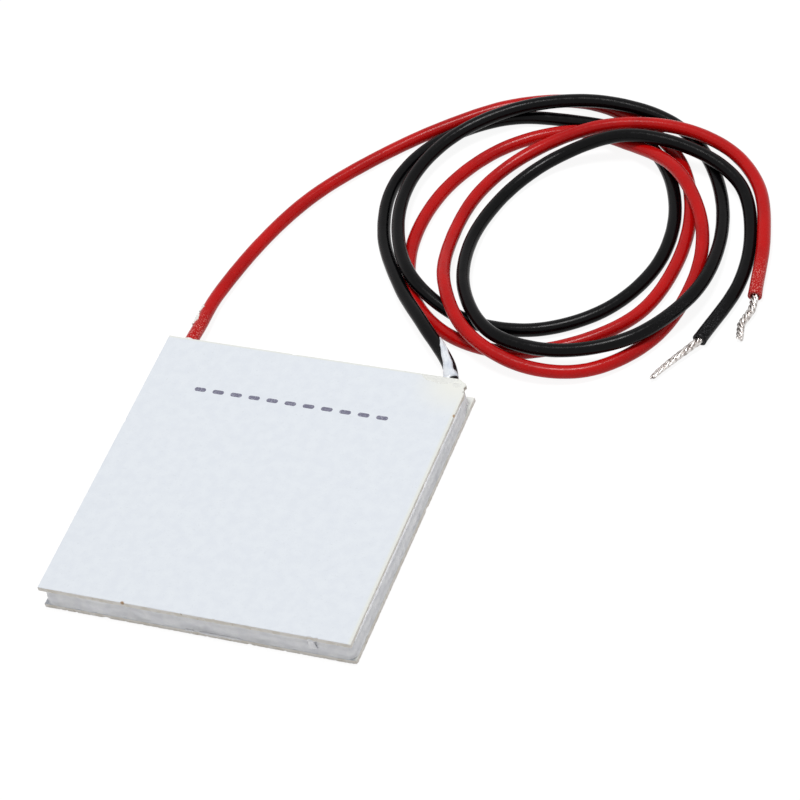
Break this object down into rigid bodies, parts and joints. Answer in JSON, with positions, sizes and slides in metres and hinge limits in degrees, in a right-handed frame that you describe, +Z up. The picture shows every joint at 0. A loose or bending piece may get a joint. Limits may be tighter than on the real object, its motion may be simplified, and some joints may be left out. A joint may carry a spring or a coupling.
{
  "type": "thermoelectric cooling module",
  "caption": "Square ceramic cooling plate module with a silicone-sealed edge, a hidden array of semiconductor blocks and copper tabs, and long red and black stripped leads lying in loose loops.",
  "frame": {"origin": "middle of the hot plate's underside, where the module rests", "axes": "+Z up through the cold plate, the module's shortest extent; the two leads leave the edge towards +Y; X runs across the rows of pellets"},
  "size_m": [0.0693, 0.0908, 0.0045],
  "materials": {
    "plate_ceramic": "matte",
    "clear_silicone": "gloss",
    "white_silicone": "satin",
    "copper": "satin",
    "n_pellet": "satin",
    "p_pellet": "satin",
    "solder": "satin",
    "tinned_wire": "satin",
    "red_insulation": "satin",
    "black_insulation": "satin"
  },
  "bodies": {
    "root": {"hot_plate": "plate_ceramic", "cold_plate": "plate_ceramic", "edge_seal": "clear_silicone", "hot_tabs": "copper", "cold_tabs": "copper", "turn_tabs": "copper", "red_terminal_tab": "copper", "black_terminal_tab": "copper", "red_solder": "solder", "black_solder": "solder", "red_wire_root": "tinned_wire", "black_wire_root": "tinned_wire", "red_root_bead": "white_silicone", "black_root_bead": "white_silicone", "red_lead": "red_insulation", "black_lead": "black_insulation", "red_wire_end": "tinned_wire", "black_wire_end": "tinned_wire", "n_pellets_row_01": "n_pellet", "n_pellets_row_02": "n_pellet", "n_pellets_row_03": "n_pellet", "n_pellets_row_04": "n_pellet", "n_pellets_row_05": "n_pellet", "n_pellets_row_06": "n_pellet", "n_pellets_row_07": "n_pellet", "n_pellets_row_08": "n_pellet", "n_pellets_row_09": "n_pellet", "n_pellets_row_10": "n_pellet", "n_pellets_row_11": "n_pellet", "n_pellets_row_12": "n_pellet", "n_pellets_row_13": "n_pellet", "n_pellets_row_14": "n_pellet", "n_pellets_row_15": "n_pellet", "n_pellets_row_16": "n_pellet", "p_pellets_row_01": "p_pellet", "p_pellets_row_02": "p_pellet", "p_pellets_row_03": "p_pellet", "p_pellets_row_04": "p_pellet", "p_pellets_row_05": "p_pellet", "p_pellets_row_06": "p_pellet", "p_pellets_row_07": "p_pellet", "p_pellets_row_08": "p_pellet", "p_pellets_row_09": "p_pellet", "p_pellets_row_10": "p_pellet", "p_pellets_row_11": "p_pellet", "p_pellets_row_12": "p_pellet", "p_pellets_row_13": "p_pellet", "p_pellets_row_14": "p_pellet", "p_pellets_row_15": "p_pellet", "p_pellets_row_16": "p_pellet"}
  },
  "joints": []
}
